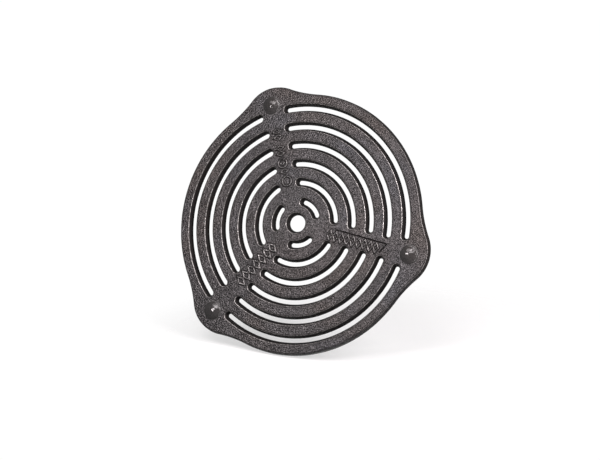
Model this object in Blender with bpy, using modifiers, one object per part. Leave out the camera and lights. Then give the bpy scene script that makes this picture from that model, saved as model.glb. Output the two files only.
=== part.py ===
"""Round cast-iron grate plate.

A disc with three rounded ears, six concentric rings of through slots and a
round hole in the centre. A domed stud stands on each ear, with its shank in a
drilled hole. The plate lies flat, +Z is the studded face, and the origin is on
the disc's axis at mid-thickness. One ear points along +Y.
"""
import math

import bmesh
import bpy
from mathutils import Matrix

# ---------------------------------------------------------------- dimensions (metres)
THICKNESS = 0.0050          # underside to studded face
Z_BACK = -THICKNESS / 2
Z_FACE = THICKNESS / 2

R_DISC = 0.1045             # disc, at the parting line near the underside
EAR_COUNT = 3
EAR_R = 0.0284              # radius of an ear's round tip
EAR_CENTRE = 0.0860         # distance of the tip's centre from the axis
EAR_BLEND_R = 0.1005        # hollow blend between an ear and the disc

RINGS = 6
RING_PITCH = 0.0150         # distance from one slot ring to the next
RING_1_R = 0.0176           # centre line of the innermost slots
SLOT_END = 0.0102           # slot-end centre to the middle of the web
SLOT_END_OUTER = 0.0128     # the outermost ring stops sooner, to clear the studs
SLOT_BACK = 0.00160         # half width at the underside
SLOT_WALL = 0.00315         # half width where the wall meets the fillet
HOLE_BACK_R = 0.0065        # centre hole at the underside
HOLE_WALL_R = 0.0081

FILLET = 0.0010             # rounding round the studded face
FILLET_STEPS = 2
BACK_EDGE = 0.0005          # edge break round the underside
WALL_DRAFT = 0.0009         # how far the outer wall leans in over its height

STUD_CENTRE = 0.0990        # stud axis from the plate's axis
STUD_R = 0.0070             # head
STUD_HEIGHT = 0.0024        # crown above the seat
SHANK_R = 0.0030
SHANK_CHAMFER = 0.0005
GAP = 0.0003                # clearance between a stud and the plate

EAR_ANGLES = [math.radians(90 + 360 * i / EAR_COUNT) for i in range(EAR_COUNT)]
STUD_NAMES = ["stud_rear", "stud_left", "stud_right"]


# ---------------------------------------------------------------- scene helpers
for ob in list(bpy.data.objects):
    bpy.data.objects.remove(ob, do_unlink=True)


def collection(name):
    col = bpy.data.collections.get(name) or bpy.data.collections.new(name)
    if col.name not in bpy.context.scene.collection.children:
        bpy.context.scene.collection.children.link(col)
    return col


PARTS = collection("grate")
CUTTERS = collection("grate_cutters")


def material(name, colour, roughness, metallic):
    mat = bpy.data.materials.new(name)
    mat.use_nodes = True
    bsdf = mat.node_tree.nodes["Principled BSDF"]
    bsdf.inputs["Base Color"].default_value = (*colour, 1.0)
    bsdf.inputs["Roughness"].default_value = roughness
    bsdf.inputs["Metallic"].default_value = metallic
    mat.diffuse_color = (*colour, 1.0)
    return mat


def place(name, mesh, col):
    ob = bpy.data.objects.new(name, mesh)
    col.objects.link(ob)
    return ob


def cutter(name, mesh):
    ob = place(name, mesh, CUTTERS)
    ob.hide_render = True
    ob.display_type = "WIRE"
    return ob


def cut(target, tool):
    mod = target.modifiers.new("cut_" + tool.name, "BOOLEAN")
    mod.operation = "DIFFERENCE"
    mod.solver = "EXACT"
    mod.object = tool
    return mod


# ---------------------------------------------------------------- outlines
def arc(cx, cy, r, a0, a1, steps):
    """Points along an arc, without its last one."""
    return [
        (cx + r * math.cos(a0 + (a1 - a0) * i / steps),
         cy + r * math.sin(a0 + (a1 - a0) * i / steps))
        for i in range(steps)
    ]


def plate_outline(inset):
    """The plate's outline, moved inwards by inset, anticlockwise."""
    far = R_DISC + EAR_BLEND_R
    near = EAR_R + EAR_BLEND_R
    fx = (far ** 2 - near ** 2 + EAR_CENTRE ** 2) / (2 * EAR_CENTRE)
    fy = math.sqrt(far ** 2 - fx ** 2)
    disc_a = math.atan2(fy, fx)                    # where the disc gives way to the blend
    tip_a = math.atan2(fy, fx - EAR_CENTRE)        # where the blend gives way to the tip
    sector = 2 * math.pi / EAR_COUNT
    points = []
    for ear in EAR_ANGLES:
        c, s = math.cos(ear), math.sin(ear)
        one = []
        # blend on the way in, the round tip, the blend on the way out, then the disc
        one += arc(fx, -fy, EAR_BLEND_R + inset, math.pi - disc_a, math.pi - tip_a, 3)
        one += arc(EAR_CENTRE, 0, EAR_R - inset, -tip_a, tip_a, 10)
        one += arc(fx, fy, EAR_BLEND_R + inset, math.pi + tip_a, math.pi + disc_a, 3)
        one += arc(0, 0, R_DISC - inset, disc_a, sector - disc_a, 20)
        points += [(c * x - s * y, s * x + c * y) for x, y in one]
    return points


def slot_outline(radius, start, end, half):
    """A slot along an arc with round ends, anticlockwise; half is its half width."""
    steps = max(4, math.ceil((end - start) / math.radians(4.5)))
    caps = 5
    ex, ey = radius * math.cos(end), radius * math.sin(end)
    sx, sy = radius * math.cos(start), radius * math.sin(start)
    points = arc(0, 0, radius + half, start, end, steps)
    points += arc(ex, ey, half, end, end + math.pi, caps)
    points += arc(0, 0, radius - half, end, start, steps)
    points += arc(sx, sy, half, start + math.pi, start + 2 * math.pi, caps)
    return points


def loft(levels):
    """A closed body through (z, outline) levels."""
    bm = bmesh.new()
    bottom = [bm.verts.new((x, y, levels[0][0])) for x, y in levels[0][1]]
    bm.faces.new(bottom[::-1])
    below = bottom
    for z, outline in levels[1:]:
        edges = [e for e in bm.edges if e.verts[0] in set(below) and e.verts[1] in set(below)]
        grown = bmesh.ops.extrude_edge_only(bm, edges=edges)
        new = {v for v in grown["geom"] if isinstance(v, bmesh.types.BMVert)}
        above = []
        for v, (x, y) in zip(below, outline):
            up = next(e.other_vert(v) for e in v.link_edges if e.other_vert(v) in new)
            up.co = (x, y, z)
            above.append(up)
        below = above
    bm.faces.new(below)
    bmesh.ops.recalc_face_normals(bm, faces=bm.faces)
    return bm


def mesh_from(bm, name):
    me = bpy.data.meshes.new(name)
    bm.to_mesh(me)
    bm.free()
    return me


def smooth(mesh, degrees):
    mesh.shade_smooth()
    mesh.set_sharp_from_angle(angle=math.radians(degrees))


def fillet():
    """(offset into the iron, z) from the top of a wall round to the studded face."""
    steps = [math.pi / 2 * i / FILLET_STEPS for i in range(FILLET_STEPS + 1)]
    return [(FILLET - FILLET * math.cos(t), Z_FACE - FILLET + FILLET * math.sin(t)) for t in steps]


OVER = 0.0005               # how far cutters stand clear of the plate


def through_cut(outline, back, wall):
    """Levels of a drafted cutter, rounded out towards the studded face and past it."""
    levels = [(Z_BACK - OVER, outline(back)), (Z_BACK, outline(back))]
    curve = fillet()
    levels += [(z, outline(wall + w)) for w, z in curve[:-1]]
    (w0, z0), (w1, z1) = curve[-2:]
    lean = (w1 - w0) / (z1 - z0)
    levels.append((Z_FACE + OVER, outline(wall + w1 + lean * OVER)))
    return levels


# ---------------------------------------------------------------- the plate
IRON = material("cast_iron", (0.095, 0.088, 0.086), 0.62, 0.35)
STUD_IRON = material("stud_iron", (0.060, 0.056, 0.055), 0.32, 0.55)

plate_mesh = mesh_from(
    loft(
        [(Z_BACK, plate_outline(BACK_EDGE)), (Z_BACK + BACK_EDGE, plate_outline(0.0))]
        + [(z, plate_outline(WALL_DRAFT + w)) for w, z in fillet()]
    ),
    "grate_plate",
)
plate_mesh.materials.append(IRON)
plate = place("grate_plate", plate_mesh, PARTS)

# one cutter holds the eighteen slots, each wider towards the studded face
slots = bmesh.new()
for ear in EAR_ANGLES:
    for ring in range(RINGS):
        radius = RING_1_R + ring * RING_PITCH
        reach = SLOT_END_OUTER if ring == RINGS - 1 else SLOT_END
        inset = math.asin(reach / radius)
        start = ear + inset
        end = ear + 2 * math.pi / EAR_COUNT - inset
        one = loft(through_cut(
            lambda half: slot_outline(radius, start, end, half), SLOT_BACK, SLOT_WALL))
        piece = mesh_from(one, "slot")
        slots.from_mesh(piece)
        bpy.data.meshes.remove(piece)
cut(plate, cutter("slot_cutter", mesh_from(slots, "slot_cutter")))

# the centre hole has the same draft and rounding
hole = loft(through_cut(
    lambda radius: arc(0.0, 0.0, radius, 0.0, 2 * math.pi, 40), HOLE_BACK_R, HOLE_WALL_R))
cut(plate, cutter("hole_cutter", mesh_from(hole, "hole_cutter")))

# a drilled hole through each ear takes a stud's shank
drill = bmesh.new()
for ear in EAR_ANGLES:
    at = Matrix.Translation((STUD_CENTRE * math.cos(ear), STUD_CENTRE * math.sin(ear), 0.0))
    bmesh.ops.create_cone(
        drill, cap_ends=True, segments=28,
        radius1=SHANK_R + GAP, radius2=SHANK_R + GAP, depth=THICKNESS + 4 * OVER, matrix=at)
cut(plate, cutter("drill_cutter", mesh_from(drill, "drill_cutter")))

# ---------------------------------------------------------------- the studs
# Profile in the XZ plane from the crown down the outer side to the shank's end.
seat = Z_FACE + GAP
ball = (STUD_R ** 2 + STUD_HEIGHT ** 2) / (2 * STUD_HEIGHT)
lean = math.asin(STUD_R / ball)
crown = [
    (ball * math.sin(lean * i / 9), 0.0, seat + STUD_HEIGHT - ball * (1 - math.cos(lean * i / 9)))
    for i in range(10)
]
shank_end = Z_BACK + GAP
profile = crown + [
    (SHANK_R, 0.0, seat),
    (SHANK_R, 0.0, shank_end + SHANK_CHAMFER),
    (SHANK_R - SHANK_CHAMFER, 0.0, shank_end),
    (0.0, 0.0, shank_end),
]
stud_mesh = bpy.data.meshes.new("stud")
stud_mesh.from_pydata(profile, [(i, i + 1) for i in range(len(profile) - 1)], [])
stud_mesh.materials.append(STUD_IRON)
for name, ear in zip(STUD_NAMES, EAR_ANGLES):
    stud = place(name, stud_mesh, PARTS)
    stud.location = (STUD_CENTRE * math.cos(ear), STUD_CENTRE * math.sin(ear), 0.0)
    turn = stud.modifiers.new("turn", "SCREW")
    turn.axis = "Z"
    turn.angle = 2 * math.pi
    turn.steps = 28
    turn.render_steps = 28
    turn.use_merge_vertices = True
    turn.merge_threshold = 0.00001
    turn.use_smooth_shade = True
    weld = stud.modifiers.new("weld", "WELD")
    weld.merge_threshold = 0.00001

print("grate:", len(PARTS.objects), "parts")
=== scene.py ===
"""Looks for the round cast-iron grate plate: a fine casting mesh, four finished pieces,
procedural iron, a pale table that fades into a white surround, and six soft lights."""
import math

import bmesh
import bpy
import numpy as np
from mathutils import Matrix, Vector, geometry, noise


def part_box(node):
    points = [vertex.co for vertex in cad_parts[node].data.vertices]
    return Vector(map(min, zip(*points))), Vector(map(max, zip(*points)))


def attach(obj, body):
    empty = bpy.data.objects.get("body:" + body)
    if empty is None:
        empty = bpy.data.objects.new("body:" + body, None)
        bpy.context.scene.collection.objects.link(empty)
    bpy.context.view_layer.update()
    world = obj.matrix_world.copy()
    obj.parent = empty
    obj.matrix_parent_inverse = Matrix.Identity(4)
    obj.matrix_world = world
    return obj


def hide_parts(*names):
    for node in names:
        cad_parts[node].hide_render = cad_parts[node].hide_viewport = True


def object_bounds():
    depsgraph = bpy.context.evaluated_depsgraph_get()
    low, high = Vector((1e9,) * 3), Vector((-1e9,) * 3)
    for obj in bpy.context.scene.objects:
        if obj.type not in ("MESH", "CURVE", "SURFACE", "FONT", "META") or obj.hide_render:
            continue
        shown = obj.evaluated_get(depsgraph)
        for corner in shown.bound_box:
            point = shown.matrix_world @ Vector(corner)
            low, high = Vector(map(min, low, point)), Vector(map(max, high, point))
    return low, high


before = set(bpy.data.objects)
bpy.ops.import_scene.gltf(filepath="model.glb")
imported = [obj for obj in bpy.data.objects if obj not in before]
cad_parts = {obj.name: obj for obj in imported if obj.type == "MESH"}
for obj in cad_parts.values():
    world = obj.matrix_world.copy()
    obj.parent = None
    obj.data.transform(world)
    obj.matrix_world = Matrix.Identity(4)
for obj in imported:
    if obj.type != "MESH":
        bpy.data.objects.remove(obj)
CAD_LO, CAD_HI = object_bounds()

MM = 0.001
scene = bpy.context.scene

# ------------------------------------------------------------------ sizes, in millimetres
# The plate's box and the studs' places are read from the frame. The cast shape between them
# repeats the design's own dimensions.
plate_lo, plate_hi = (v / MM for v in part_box("grate_plate"))
Z_BACK, Z_FACE = plate_lo.z, plate_hi.z
R_DISC = -plate_lo.y
EAR_TIP = plate_hi.y
EAR_R = 28.4
EAR_CENTRE = EAR_TIP - EAR_R
EAR_BLEND_R = 100.5
WALL_SLOPE = 0.24                  # how the outer wall leans in, per mm of height
RINGS, RING_1_R, RING_PITCH = 6, 17.6, 15.0
SLOT_END, SLOT_END_OUTER = 10.2, 12.8
SLOT_THROAT, SLOT_SLOPE = 1.60, 0.42
HOLE_THROAT, HOLE_SLOPE = 6.5, 0.42
FILLET = 1.0                       # cast rounding round the studded face
BACK_FILLET = 0.5
COLLAR = 0.40                      # flat band round every edge, painted darker towards the edge as shade (a dark outline)
DRILL_R = 3.3
EARS = [math.radians(a) for a in (90, 210, 330)]
STUDS = {"stud_rear": EARS[0], "stud_left": EARS[1], "stud_right": EARS[2]}
stud_lo, stud_hi = (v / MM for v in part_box("stud_rear"))
STUD_R = (stud_hi.x - stud_lo.x) / 2
STUD_CENTRE = (stud_hi.y + stud_lo.y) / 2


# ------------------------------------------------------------------ outlines
def arc(cx, cy, r, a0, a1, n):
    t = a0 + (a1 - a0) * np.arange(n) / n
    return np.c_[cx + r * np.cos(t), cy + r * np.sin(t)]


far, near = R_DISC + EAR_BLEND_R, EAR_R + EAR_BLEND_R
BLEND_X = (far ** 2 - near ** 2 + EAR_CENTRE ** 2) / (2 * EAR_CENTRE)
BLEND_Y = math.sqrt(far ** 2 - BLEND_X ** 2)
DISC_A = math.atan2(BLEND_Y, BLEND_X)
TIP_A = math.atan2(BLEND_Y, BLEND_X - EAR_CENTRE)


def outline(inset):
    """Plate outline moved into the iron by inset, anticlockwise."""
    one = np.vstack([
        arc(BLEND_X, -BLEND_Y, EAR_BLEND_R + inset, math.pi - DISC_A, math.pi - TIP_A, 20),
        arc(EAR_CENTRE, 0, EAR_R - inset, -TIP_A, TIP_A, 32),
        arc(BLEND_X, BLEND_Y, EAR_BLEND_R + inset, math.pi + TIP_A, math.pi + DISC_A, 20),
        arc(0, 0, R_DISC - inset, DISC_A, 2 * math.pi / 3 - DISC_A, 116),
    ])
    turned = []
    for a in EARS:
        c, s = math.cos(a), math.sin(a)
        turned.append(one @ np.array([[c, s], [-s, c]]))
    return np.vstack(turned)


def slot(radius, start, end, half):
    n = max(6, math.ceil((end - start) * radius / 1.25))
    p = lambda a: (radius * math.cos(a), radius * math.sin(a))
    return np.vstack([
        arc(0, 0, radius + half, start, end, n),
        arc(*p(end), half, end, end + math.pi, 10),
        arc(0, 0, radius - half, end, start, n),
        arc(*p(start), half, start + math.pi, start + 2 * math.pi, 10),
    ])


def edge_path(throat, slope, top_r, back_r, top_n=8, wall_n=3, back_n=4):
    """(offset into the iron, z) from the flat face, round the edge, down the drafted wall, to the underside.
    The throat is the wall's offset just above the underside's own rounding."""
    d = math.atan(slope)
    line = lambda z: throat + slope * (z - Z_BACK - back_r)
    zc, zb = Z_FACE - top_r, Z_BACK + back_r
    wc, wb = line(zc) + top_r / math.cos(d), line(zb) + back_r / math.cos(d)
    path = [(wc - top_r * math.cos(t), zc + top_r * math.sin(t))
            for t in np.linspace(math.pi / 2, d, top_n)]
    collar = [(wc + COLLAR, Z_FACE)]
    down = [(wb - back_r * math.cos(t), zb + back_r * math.sin(t))
            for t in np.linspace(d, -math.pi / 2, back_n)]
    a, b = path[-1], down[0]
    path += [(a[0] + (b[0] - a[0]) * i / wall_n, a[1] + (b[1] - a[1]) * i / wall_n)
             for i in range(1, wall_n)]
    return collar + path + down


# ------------------------------------------------------------------ distances in the plane
def fold(x, y):
    """Turn every point into the wedge beside its nearest ear, whose axis becomes +X."""
    rho, phi = np.hypot(x, y), np.degrees(np.arctan2(y, x))
    a = np.radians(np.abs((phi - 90 + 60) % 120 - 60))
    return rho, a


def slot_reach(k):
    """Angle from a web's middle to the end of ring k's slots; the outermost ring stops sooner."""
    return math.asin((SLOT_END_OUTER if k == RINGS - 1 else SLOT_END) / (RING_1_R + k * RING_PITCH))


def slot_distance(x, y):
    """Distance to the nearest slot's centre line."""
    rho, a = fold(x, y)
    px, py = rho * np.cos(a), rho * np.sin(a)
    best = np.full_like(rho, 1e9)
    for k in range(RINGS):
        r = RING_1_R + k * RING_PITCH
        ak = slot_reach(k)
        d = np.where(a >= ak, np.abs(rho - r),
                     np.hypot(px - r * math.cos(ak), py - r * math.sin(ak)))
        best = np.minimum(best, d)
    return best


def rim_depth(x, y):
    """How far inside the outline a point is."""
    rho, a = fold(x, y)
    px, py = rho * np.cos(a), rho * np.sin(a)
    tip = np.arctan2(py, px - EAR_CENTRE)
    return np.where(a >= DISC_A, R_DISC - rho,
                    np.where(tip <= TIP_A, EAR_R - np.hypot(px - EAR_CENTRE, py),
                             np.hypot(px - BLEND_X, py - BLEND_Y) - EAR_BLEND_R))


def drill_distance(x, y):
    rho, a = fold(x, y)
    return np.hypot(rho * np.cos(a) - STUD_CENTRE, rho * np.sin(a))


# ------------------------------------------------------------------ raised marks on the webs
# Where the casting carries relief on its three webs, this one has plain open lozenges, rings and a
# scribed line. u runs out along the web and v across it, anticlockwise. half is the stroke's half width.
MARK_HIGH, MARK_EASE = 0.80, 0.32


def lozenges(first, step, count, v, half_u, half_v, half):
    return [("lozenge", first + i * step, v, half_u, half_v, half) for i in range(count)]


MARKS = (
    lozenges(71.5, 5.2, 2, 0.0, 2.1, 3.5, 0.42) + lozenges(58.0, 4.6, 2, 0.4, 1.9, 3.2, 0.42)
    + [("ring", 50.0, 0.6, 3.7, 0.0, 0.42), ("lozenge", 50.0, 0.6, 1.3, 1.6, 0.42),
       ("lozenge", 43.2, 0.4, 1.9, 3.2, 0.42), ("ring", 34.8, 0.2, 3.9, 0.0, 0.42)],
    lozenges(27.6, 6.2, 7, 0.2, 2.6, 4.3, 0.62),
    lozenges(31.4, 5.0, 9, -1.9, 2.2, 3.7, 0.45)
    + [("line", 35.0, 3.2, 79.2, 3.0, 0.30), ("line", 79.2, 3.0, 75.2, -4.6, 0.30)],
)


def relief(x, y):
    """Height of a mark at a point of the face, from -1 to 1, and how close the point is to a mark's foot or to the
    scribed line; that closeness is painted in as shade.
    """
    h, foot = np.zeros_like(x), np.zeros_like(x)
    for ear, marks in zip(EARS, MARKS):
        u = x * math.cos(ear) + y * math.sin(ear)
        v = -x * math.sin(ear) + y * math.cos(ear)
        for kind, p, q, r, t, half in marks:
            if kind == "lozenge":
                f = (np.abs(u - p) / r + np.abs(v - q) / t - 1) / math.hypot(1 / r, 1 / t)
            elif kind == "ring":
                f = np.hypot(u - p, v - q) - r
            else:
                du, dv = r - p, t - q
                k = np.clip(((u - p) * du + (v - q) * dv) / (du * du + dv * dv), 0, 1)
                f = np.hypot(u - p - k * du, v - q - k * dv)
            up = np.clip(0.5 - (np.abs(f) - half) / MARK_EASE, 0, 1)
            up = up * up * (3 - 2 * up)
            if kind == "line":
                h = np.where(up > 0, -0.8 * up, h)
                foot = np.maximum(foot, np.clip(1.6 - np.abs(f) / 0.5, 0, 1))
            else:
                h = np.maximum(h, up)
                foot = np.maximum(foot, np.clip(1.4 - np.abs(np.abs(f) - half - 0.32) / 0.48, 0, 1) * (1 - up))
    return h, foot


# ------------------------------------------------------------------ the casting's mesh
verts, faces = [], []
# wear is edge wear; wall is painted shade: the slot walls, the band along every edge and the rounding drawn darker as
# shade
wear, wall = [], []


def add_loop_levels(make, path, wears, shade_levels):
    """Rings of vertices along an edge path, joined by quads. Returns first and last ring indices."""
    rings = []
    for (w, z), e, k in zip(path, wears, shade_levels):
        pts = make(w)
        base = len(verts)
        verts.extend((p[0], p[1], z) for p in pts)
        wear.extend([e] * len(pts))
        wall.extend([k] * len(pts))
        rings.append(list(range(base, base + len(pts))))
    for a, b in zip(rings, rings[1:]):
        n = len(a)
        faces.extend((a[i], a[(i + 1) % n], b[(i + 1) % n], b[i]) for i in range(n))
    return rings[0], rings[-1]


WEAR = [0.0, 0.0, 0.10, 0.55, 0.95, 1.0, 0.75, 0.25]
# painted shade per ring of an edge path, from the flat band round the rounding and down into the slot
SHADE_RAMP = [0.0, 0.70, 0.60, 0.35, 0.12, 0.25, 0.70, 0.95]


def ramps(path):
    """Edge wear is strongest half way round the top rounding; painted shade is dark where the flat band meets the
    rounding, lightest half way round it, and 1 down in the slot.
    """
    wears = [WEAR[i] if i < len(WEAR) else 0.0 for i in range(len(path))]
    shade_levels = [SHADE_RAMP[i] if i < len(SHADE_RAMP) else 1.0 for i in range(len(path))]
    return wears, shade_levels


face_loops, back_loops = [], []


def edge(make, path, wall_on=True):
    wears, shade_levels = ramps(path)
    if not wall_on:
        wears, shade_levels = [0.25 * e for e in wears], [0.75 * k for k in shade_levels]
    first, last = add_loop_levels(make, path, wears, shade_levels)
    face_loops.append(first)
    back_loops.append(last)


edge(outline, edge_path(0.0, WALL_SLOPE, FILLET, BACK_FILLET), wall_on=False)
slot_path = edge_path(SLOT_THROAT, SLOT_SLOPE, FILLET, BACK_FILLET)
for ear in EARS:
    for k in range(RINGS):
        r = RING_1_R + k * RING_PITCH
        a = slot_reach(k)
        edge(lambda w, r=r, a=a, ear=ear: slot(r, ear + a, ear + 2 * math.pi / 3 - a, w), slot_path)
hole_path = edge_path(HOLE_THROAT, HOLE_SLOPE, FILLET, BACK_FILLET)
edge(lambda w: arc(0, 0, w, 0, 2 * math.pi, 44), hole_path)
drill_path = edge_path(DRILL_R, 0.0, 0.3, 0.3, 8, 3, 4)
for ear in EARS:
    at = (STUD_CENTRE * math.cos(ear), STUD_CENTRE * math.sin(ear))
    edge(lambda w, at=at: arc(*at, w, 0, 2 * math.pi, 32), drill_path)

HOLE_FLAT, SLOT_FLAT, RIM_FLAT = hole_path[0][0], slot_path[0][0], edge_path(0.0, WALL_SLOPE, FILLET, BACK_FILLET)[0][0]
HOLE_UNDER, SLOT_UNDER, RIM_UNDER = hole_path[-1][0], slot_path[-1][0], edge_path(0.0, WALL_SLOPE, FILLET, BACK_FILLET)[-1][0]


def inside(x, y, slot_w, rim_w, hole_w, drill_w):
    """Positive inside the flat iron, as a distance to its nearest boundary."""
    return np.minimum.reduce([
        slot_distance(x, y) - slot_w, rim_depth(x, y) - rim_w,
        np.hypot(x, y) - hole_w, drill_distance(x, y) - drill_w])


def grid(step, x0, x1, y0, y1, seed):
    """Hexagonal points with a little jitter."""
    rng = np.random.default_rng(seed)
    rows = []
    for j, y in enumerate(np.arange(y0, y1, step * math.sqrt(3) / 2)):
        xs = np.arange(x0 + (step / 2 if j % 2 else 0), x1, step)
        rows.append(np.c_[xs, np.full_like(xs, y)])
    p = np.vstack(rows)
    return p + rng.uniform(-0.18 * step, 0.18 * step, p.shape)


def fill(loops, z, levels, points, up):
    """Triangulate between the loops, through extra inner points."""
    slot_w, rim_w, hole_w, drill_w = levels
    co, edges_in, back = [], [], []
    for loop in loops:
        base = len(co)
        co.extend(Vector((verts[i][0], verts[i][1])) for i in loop)
        back.extend(loop)
        n = len(loop)
        edges_in.extend((base + i, base + (i + 1) % n) for i in range(n))
    first = len(verts)
    for x, y in points:
        back.append(len(verts))
        co.append(Vector((x, y)))
        verts.append((x, y, z))
        wear.append(0.0)
        wall.append(0.0)
    got = geometry.delaunay_2d_cdt(co, edges_in, [], 0, 1e-7)
    new_co, _, tris, orig = got[0], got[1], got[2], got[3]
    index = [back[o[0]] if o else -1 for o in orig]
    t = np.array([f for f in tris if len(f) == 3])
    c = np.array([tuple(v) for v in new_co])
    mid = c[t].mean(1)
    keep = inside(mid[:, 0], mid[:, 1], slot_w, rim_w, hole_w, drill_w) > -0.004
    for a, b, d in t[keep]:
        a, b, d = index[a], index[b], index[d]
        if min(a, b, d) < 0:
            raise RuntimeError("the triangulation made a point of its own")
        faces.append((a, b, d) if up else (a, d, b))
    return first


face_levels = (SLOT_FLAT, RIM_FLAT, HOLE_FLAT, drill_path[0][0])
p = grid(1.15, -EAR_TIP, EAR_TIP, -EAR_TIP, EAR_TIP, 3)
p = p[inside(p[:, 0], p[:, 1], *face_levels) > 0.55]
web = np.zeros(len(p), bool)
fine = []
MARK_U0, MARK_U1, MARK_V = 24.0, 81.5, 6.6
for n, ear in enumerate(EARS):
    u = p[:, 0] * math.cos(ear) + p[:, 1] * math.sin(ear)
    v = -p[:, 0] * math.sin(ear) + p[:, 1] * math.cos(ear)
    web |= (u > MARK_U0) & (u < MARK_U1) & (np.abs(v) < MARK_V)
    q = grid(0.29, MARK_U0, MARK_U1, -MARK_V, MARK_V, 20 + n)
    fine.append(q @ np.array([[math.cos(ear), math.sin(ear)], [-math.sin(ear), math.cos(ear)]]))
fine = np.vstack(fine)
fine = fine[inside(fine[:, 0], fine[:, 1], *face_levels) > 0.3]
fill(face_loops, Z_FACE, face_levels, np.vstack([p[~web], fine]), True)

under_levels = (SLOT_UNDER, RIM_UNDER, HOLE_UNDER, drill_path[-1][0])
p = grid(2.2, -EAR_TIP, EAR_TIP, -EAR_TIP, EAR_TIP, 5)
p = p[inside(p[:, 0], p[:, 1], *under_levels) > 0.9]
fill(back_loops, Z_BACK, under_levels, p, False)


def make_mesh(name, co, polys, attributes=()):
    me = bpy.data.meshes.new(name)
    me.from_pydata([tuple(c * MM for c in v) for v in co], [], polys)
    for label, values in attributes:
        at = me.attributes.new(label, "FLOAT", "POINT")
        at.data.foreach_set("value", np.asarray(values, np.float32))
    me.validate()
    me.update()
    me.shade_smooth()
    return me


def link(name, me):
    ob = bpy.data.objects.new(name, me)
    scene.collection.objects.link(ob)
    return ob


# the second attribute is painted shade, not a colour of the iron
plate_me = make_mesh("plate_casting", verts, faces, (("edge_wear", wear), ("painted_shade", wall)))
bm = bmesh.new()
bm.from_mesh(plate_me)
bmesh.ops.recalc_face_normals(bm, faces=bm.faces)
bm.to_mesh(plate_me)
bm.free()

# Cast unevenness, as geometry: slow waves in the skin and a fine pebble on top of them.
co = np.empty(len(plate_me.vertices) * 3, np.float32)
plate_me.vertices.foreach_get("co", co)
co = co.reshape(-1, 3).astype(float)
normals = np.array([tuple(n.vector) for n in plate_me.vertex_normals])
pts = co / MM
skin = np.array([
    0.050 * noise.noise(Vector((x, y, z)) * 0.085)
    + 0.030 * noise.noise(Vector((x + 40, y, z)) * 0.24)
    + 0.030 * noise.noise(Vector((x, y + 60, z)) * 0.62)
    for x, y, z in pts])
co += normals * (skin[:, None] * MM)
on_face = pts[:, 2] > Z_FACE - 1e-4
raised, foot = relief(pts[on_face, 0], pts[on_face, 1])
co[on_face, 2] += raised * MARK_HIGH * MM
wears, shade_levels = np.array(wear), np.array(wall)
wears[on_face] = np.maximum(wears[on_face], 0.33 * raised)
# painted shade round the marks' feet and along the scribed line
shade_levels[on_face] = np.maximum(shade_levels[on_face], foot)
plate_me.attributes["edge_wear"].data.foreach_set("value", wears.astype(np.float32))
plate_me.attributes["painted_shade"].data.foreach_set("value", shade_levels.astype(np.float32))
co[:, 0] = np.clip(co[:, 0], CAD_LO.x, CAD_HI.x)
co[:, 1] = np.clip(co[:, 1], CAD_LO.y, CAD_HI.y)
co[:, 2] = np.clip(co[:, 2], CAD_LO.z, CAD_HI.z)
plate_me.vertices.foreach_set("co", co.astype(np.float32).ravel())
plate_me.update()
plate = link("plate_casting", plate_me)


# ------------------------------------------------------------------ the studs
def lathe(profile, steps):
    """Profile of (radius, z) from the top pole to the bottom pole, turned into a closed mesh."""
    co, polys, rings = [], [], []
    for r, z in profile:
        if r < 1e-6:
            rings.append([len(co)])
            co.append((0.0, 0.0, z))
        else:
            rings.append(list(range(len(co), len(co) + steps)))
            co.extend((r * math.cos(2 * math.pi * i / steps), r * math.sin(2 * math.pi * i / steps), z)
                      for i in range(steps))
    for a, b in zip(rings, rings[1:]):
        for i in range(steps):
            j = (i + 1) % steps
            if len(a) == 1:
                polys.append((a[0], b[i], b[j]))
            elif len(b) == 1:
                polys.append((a[i], b[0], a[j]))
            else:
                polys.append((a[i], b[i], b[j], a[j]))
    return co, polys


seat, crown = Z_FACE + 0.06, stud_hi.z
CAP_R, CAP_BALL = 6.2, 11.4
lean = math.asin(CAP_R / CAP_BALL)
profile = [(CAP_BALL * math.sin(lean * t), crown - CAP_BALL * (1 - math.cos(lean * t)))
           for t in np.linspace(0, 1, 22)]
rim_r, rim_z = profile[-1]
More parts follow.
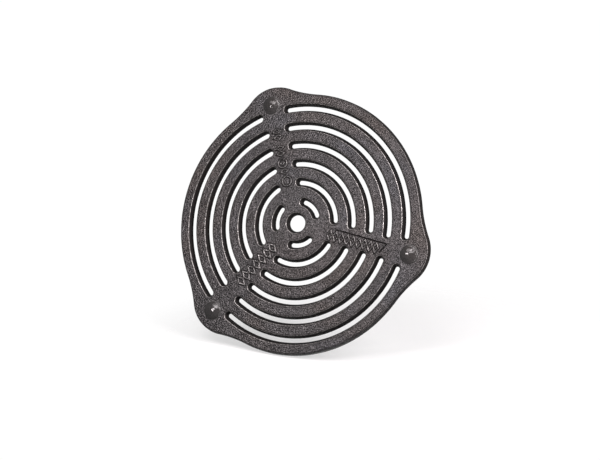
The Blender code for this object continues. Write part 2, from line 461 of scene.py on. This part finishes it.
# the cap turns over a rounded shoulder, then flares out again where it meets the plate
foot_r, foot_z = STUD_R + 0.65, seat + 0.03
turn_r, turn_z = STUD_R - 0.30, (rim_z + seat) / 2 + 0.1
for t in np.linspace(0.2, 1, 6):
    profile.append((rim_r + (turn_r - rim_r) * math.sin(t * math.pi / 2),
                    rim_z + (turn_z - rim_z) * (1 - math.cos(t * math.pi / 2) * (1 - 0.25 * t))))
for t in np.linspace(0.2, 1, 6):
    profile.append((turn_r + (foot_r - turn_r) * (1 - math.cos(t * math.pi / 2)),
                    turn_z + (foot_z - turn_z) * math.sin(t * math.pi / 2)))
profile += [(foot_r - 0.05, seat), (3.2, seat), (3.0, seat - 0.15), (3.0, Z_BACK + 0.8),
            (2.9, Z_BACK + 0.5), (2.5, Z_BACK + 0.3), (0.0, Z_BACK + 0.3)]
studs = []
for n, (node, ear) in enumerate(STUDS.items()):
    sco, spoly = lathe(profile, 72)
    cx, cy = STUD_CENTRE * math.cos(ear), STUD_CENTRE * math.sin(ear)
    out = []
    for x, y, z in sco:
        k = 0.10 * noise.noise(Vector((x + 20 * n, y, z)) * 0.45) if z > seat + 0.4 else 0.0
        out.append((cx + x * (1 + k * 0.1), cy + y * (1 + k * 0.1), min(z + k, crown)))
    # painted shade where the stud flares out into the plate
    stud_foot_shade = [0.8 * min(1.0, max(0.0, (math.hypot(x, y) - turn_r) / 0.4)) for x, y, z in sco]
    me = make_mesh(node + "_dome", out, spoly, [("painted_shade", stud_foot_shade)])
    bm = bmesh.new()
    bm.from_mesh(me)
    bmesh.ops.recalc_face_normals(bm, faces=bm.faces)
    bm.to_mesh(me)
    bm.free()
    me.shade_smooth()
    me.set_sharp_from_angle(angle=math.radians(60))
    studs.append((link(node + "_dome", me), node))


# ------------------------------------------------------------------ materials
def nodes_for(name):
    mat = bpy.data.materials.new(name)
    mat.use_nodes = True
    tree = mat.node_tree
    return mat, tree, tree.nodes["Principled BSDF"]


def tex(tree, kind, **kw):
    n = tree.nodes.new(kind)
    for k, v in kw.items():
        if k in n.inputs:
            n.inputs[k].default_value = v
        else:
            setattr(n, k, v)
    return n


def ramp(tree, src, stops):
    n = tree.nodes.new("ShaderNodeValToRGB")
    while len(n.color_ramp.elements) < len(stops):
        n.color_ramp.elements.new(0.5)
    for e, (pos, col) in zip(n.color_ramp.elements, stops):
        e.position = pos
        e.color = (*col, 1) if len(col) == 3 else col
    tree.links.new(src, n.inputs["Fac"])
    return n.outputs["Color"]


def mix(tree, a, b, fac, blend="MIX"):
    n = tree.nodes.new("ShaderNodeMix")
    n.data_type = "RGBA"
    n.blend_type = blend
    for v, i in ((fac, 0), (a, 6), (b, 7)):
        if isinstance(v, bpy.types.NodeSocket):
            tree.links.new(v, n.inputs[i])
        elif i:
            n.inputs[i].default_value = (*v, 1)
        else:
            n.inputs[i].default_value = v
    return n.outputs[2]


def math_node(tree, op, a, b=None):
    n = tree.nodes.new("ShaderNodeMath")
    n.operation = op
    for i, v in enumerate((a, b)):
        if v is None:
            continue
        if isinstance(v, bpy.types.NodeSocket):
            tree.links.new(v, n.inputs[i])
        else:
            n.inputs[i].default_value = v
    return n.outputs[0]


def iron(name, dark, light, metal, rough, grain, speck, rubbed, shine=0.5):
    """Cast iron: blotches, warm and cool bloom, a fine speckle in colour, shine and relief, rubbed edges, and painted
    shade: the colour darkened where a per-vertex shade attribute is set.
    """
    mat, tree, bsdf = nodes_for(name)
    L = tree.links.new
    where = tree.nodes.new("ShaderNodeTexCoord").outputs["Object"]

    def field(scale, detail=2.0, roughness=0.5):
        n = tex(tree, "ShaderNodeTexNoise", Scale=scale, Detail=detail, Roughness=roughness)
        L(where, n.inputs["Vector"])
        return n.outputs["Fac"]

    def remap(src, lo, hi, to_lo, to_hi):
        n = tree.nodes.new("ShaderNodeMapRange")
        L(src, n.inputs["Value"])
        for k, v in (("From Min", lo), ("From Max", hi), ("To Min", to_lo), ("To Max", to_hi)):
            n.inputs[k].default_value = v
        return n.outputs["Result"]

    blotch, warm, cool = field(70, 3, 0.55), field(13, 2, 0.5), field(17, 2, 0.5)
    grains, fine = field(1060, 0.25, 0.5), field(2200, 1, 0.5)
    base = ramp(tree, blotch, [(0.35, dark), (0.65, light)])
    base = mix(tree, base, (1.085, 1.00, 0.93), remap(warm, 0.46, 0.62, 0, 1), "MULTIPLY")
    base = mix(tree, base, (0.945, 0.985, 1.04), remap(cool, 0.48, 0.62, 0, 1), "MULTIPLY")
    base = mix(tree, base, ramp(tree, grains, [(0.30, (1 - speck,) * 3), (0.70, (1 + speck,) * 3)]), 1.0, "MULTIPLY")
    worn = tree.nodes.new("ShaderNodeAttribute")
    worn.attribute_name = "edge_wear"
    rub = math_node(tree, "MULTIPLY", worn.outputs["Fac"], remap(grains, 0.35, 0.65, 0.30, rubbed))
    base = mix(tree, base, (0.47, 0.449, 0.44), rub)
    # painted shade: the colour is multiplied darker down the slot walls, along the edge band, round the marks' feet and
    # at the studs' feet
    shade_attr = tree.nodes.new("ShaderNodeAttribute")
    shade_attr.attribute_name = "painted_shade"
    base = mix(tree, base, (0.32, 0.30, 0.29), shade_attr.outputs["Fac"], "MULTIPLY")
    L(base, bsdf.inputs["Base Color"])
    bsdf.inputs["Metallic"].default_value = metal
    bsdf.inputs["Specular IOR Level"].default_value = shine
    coarse = remap(grains, 0.35, 0.65, *rough)
    smooth = math_node(tree, "MULTIPLY", worn.outputs["Fac"], 0.10)
    scale = math_node(tree, "MULTIPLY", shade_attr.outputs["Fac"], 0.40)
    L(math_node(tree, "ADD", math_node(tree, "SUBTRACT", coarse, smooth), scale), bsdf.inputs["Roughness"])
    b1 = tex(tree, "ShaderNodeBump", Strength=1.0, Distance=grain * MM)
    L(grains, b1.inputs["Height"])
    b2 = tex(tree, "ShaderNodeBump", Strength=1.0, Distance=grain * 0.2 * MM)
    L(fine, b2.inputs["Height"])
    L(b1.outputs["Normal"], b2.inputs["Normal"])
    L(b2.outputs["Normal"], bsdf.inputs["Normal"])
    return mat


plate_mat = iron("cast_iron", (0.0385, 0.0364, 0.0371), (0.050, 0.0474, 0.0483), 0.75, (0.254, 0.304), 0.32, 0.26, 0.95)
stud_mat = iron("stud_iron", (0.037, 0.0348, 0.0345), (0.047, 0.0436, 0.043), 0.25, (0.09, 0.13), 0.11, 0.25, 0.4, 0.85)
plate_me.materials.append(plate_mat)
for ob, node in studs:
    ob.data.materials.append(stud_mat)
    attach(ob, "root")
    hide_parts(node)
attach(plate, "root")
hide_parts("grate_plate")

# ------------------------------------------------------------------ camera
CAM = Vector((0.39382, -0.24637, 0.96325))
RIGHT = Vector((0.890259, -0.195404, -0.411407))
UP = Vector((0.268967, 0.954517, 0.128665))
BACK = Vector((0.367553, -0.225200, 0.902325))
cam_data = bpy.data.cameras.new("camera")
cam_data.sensor_width = 36.0
cam_data.lens = 81.15
cam_data.clip_start, cam_data.clip_end = 0.05, 20.0
cam = bpy.data.objects.new("camera", cam_data)
cam.matrix_world = Matrix((
    (RIGHT.x, UP.x, BACK.x, CAM.x),
    (RIGHT.y, UP.y, BACK.y, CAM.y),
    (RIGHT.z, UP.z, BACK.z, CAM.z),
    (0, 0, 0, 1)))
scene.collection.objects.link(cam)
scene.camera = cam


def seen(r, u, b):
    """A direction given as right, up and towards the viewer, in the part's frame."""
    return (RIGHT * r + UP * u + BACK * b).normalized()


# ------------------------------------------------------------------ stage
# The plate stands on its rim, as on a white table. The table is one-sided and fades out.
PITCH = math.radians(14)
floor_n = seen(0, math.cos(PITCH), math.sin(PITCH))
co_all = co
foot = co_all[int(np.argmin(co_all @ np.array(floor_n)))]
side = seen(1, 0, 0)
ahead = floor_n.cross(side).normalized()
size = 1.6
table_me = bpy.data.meshes.new("table")
c0 = Vector(foot)
corners = [c0 + side * sx * size + ahead * sy * size - floor_n * 0.0002 for sx, sy in ((-1, -1), (1, -1), (1, 1), (-1, 1))]
table_me.from_pydata([tuple(c) for c in corners], [], [(0, 1, 2, 3)])
table_me.update()
if Vector(table_me.polygons[0].normal).dot(floor_n) < 0:
    table_me.flip_normals()
table = link("table", table_me)
mat, tree, bsdf = nodes_for("table_white")
bsdf.inputs["Base Color"].default_value = (0.40, 0.40, 0.40, 1)
bsdf.inputs["Roughness"].default_value = 1.0
bsdf.inputs["Specular IOR Level"].default_value = 0.0
clear = tree.nodes.new("ShaderNodeBsdfTransparent")
geo = tree.nodes.new("ShaderNodeNewGeometry")
gap = tree.nodes.new("ShaderNodeVectorMath")
gap.operation = "DISTANCE"
gap.inputs[1].default_value = c0 + side * 0.085
tree.links.new(geo.outputs["Position"], gap.inputs[0])
fade = tree.nodes.new("ShaderNodeMapRange")
fade.interpolation_type = "SMOOTHSTEP"
fade.inputs["From Min"].default_value, fade.inputs["From Max"].default_value = 0.10, 0.26
tree.links.new(gap.outputs["Value"], fade.inputs["Value"])
both = math_node(tree, "MAXIMUM", fade.outputs["Result"], geo.outputs["Backfacing"])
bsdf.inputs["Emission Color"].default_value = (1, 1, 1, 1)
bsdf.inputs["Emission Strength"].default_value = 0.53
blend = tree.nodes.new("ShaderNodeMixShader")
tree.links.new(both, blend.inputs[0])
tree.links.new(bsdf.outputs[0], blend.inputs[1])
tree.links.new(clear.outputs[0], blend.inputs[2])
tree.links.new(blend.outputs[0], tree.nodes["Material Output"].inputs["Surface"])
table_me.materials.append(mat)
table.visible_diffuse = False
table.visible_glossy = False

world = bpy.data.worlds.new("studio")
scene.world = world
world.use_nodes = True
wt = world.node_tree
bg = wt.nodes["Background"]
bg.inputs["Color"].default_value = (1, 1, 1, 1)
bg.inputs["Strength"].default_value = 0.22
white = wt.nodes.new("ShaderNodeBackground")
white.inputs["Color"].default_value = (1, 1, 1, 1)
white.inputs["Strength"].default_value = 1.02
ray = wt.nodes.new("ShaderNodeLightPath")
pick = wt.nodes.new("ShaderNodeMixShader")
wt.links.new(ray.outputs["Is Camera Ray"], pick.inputs[0])
wt.links.new(bg.outputs[0], pick.inputs[1])
wt.links.new(white.outputs[0], pick.inputs[2])
wt.links.new(pick.outputs[0], wt.nodes["World Output"].inputs["Surface"])
scene.view_settings.view_transform = "Standard"
scene.view_settings.look = "None"


def softbox(name, direction, distance, width, height, watts, colour=(1, 1, 1), centre=Vector((0, 0, 0))):
    data = bpy.data.lights.new(name, "AREA")
    data.shape = "RECTANGLE"
    data.size, data.size_y = width, height
    data.energy = watts
    data.color = colour
    ob = bpy.data.objects.new(name, data)
    scene.collection.objects.link(ob)
    ob.location = centre + direction * distance
    ob.rotation_mode = "QUATERNION"
    ob.rotation_quaternion = (-direction).to_track_quat("-Z", "Y")
    ob.visible_camera = False
    return ob


softbox("key_left", Vector((-0.36, 0.215, 1.20)).normalized(), 1.30, 0.21, 0.21, 5.15, (1.0, 0.94, 0.955))
softbox("side_right", Vector((0.88, 0.06, 0.45)).normalized(), 1.3, 1.20, 0.50, 25, (1.0, 0.95, 0.965))
softbox("high_right", Vector((0.236, 0.445, 0.865)).normalized(), 1.3, 0.50, 0.50, 4.2, (1.0, 0.95, 0.965))
softbox("over", seen(-0.30, 0.72, 0.62), 1.3, 0.9, 0.5, 5, (1.0, 0.95, 0.965))
softbox("low_right", seen(0.62, -0.55, 0.50), 1.2, 0.8, 0.6, 10, (1.0, 0.96, 0.965))
softbox("back_fill", Vector((-0.2, -0.3, -0.93)).normalized(), 1.2, 0.8, 0.8, 8)
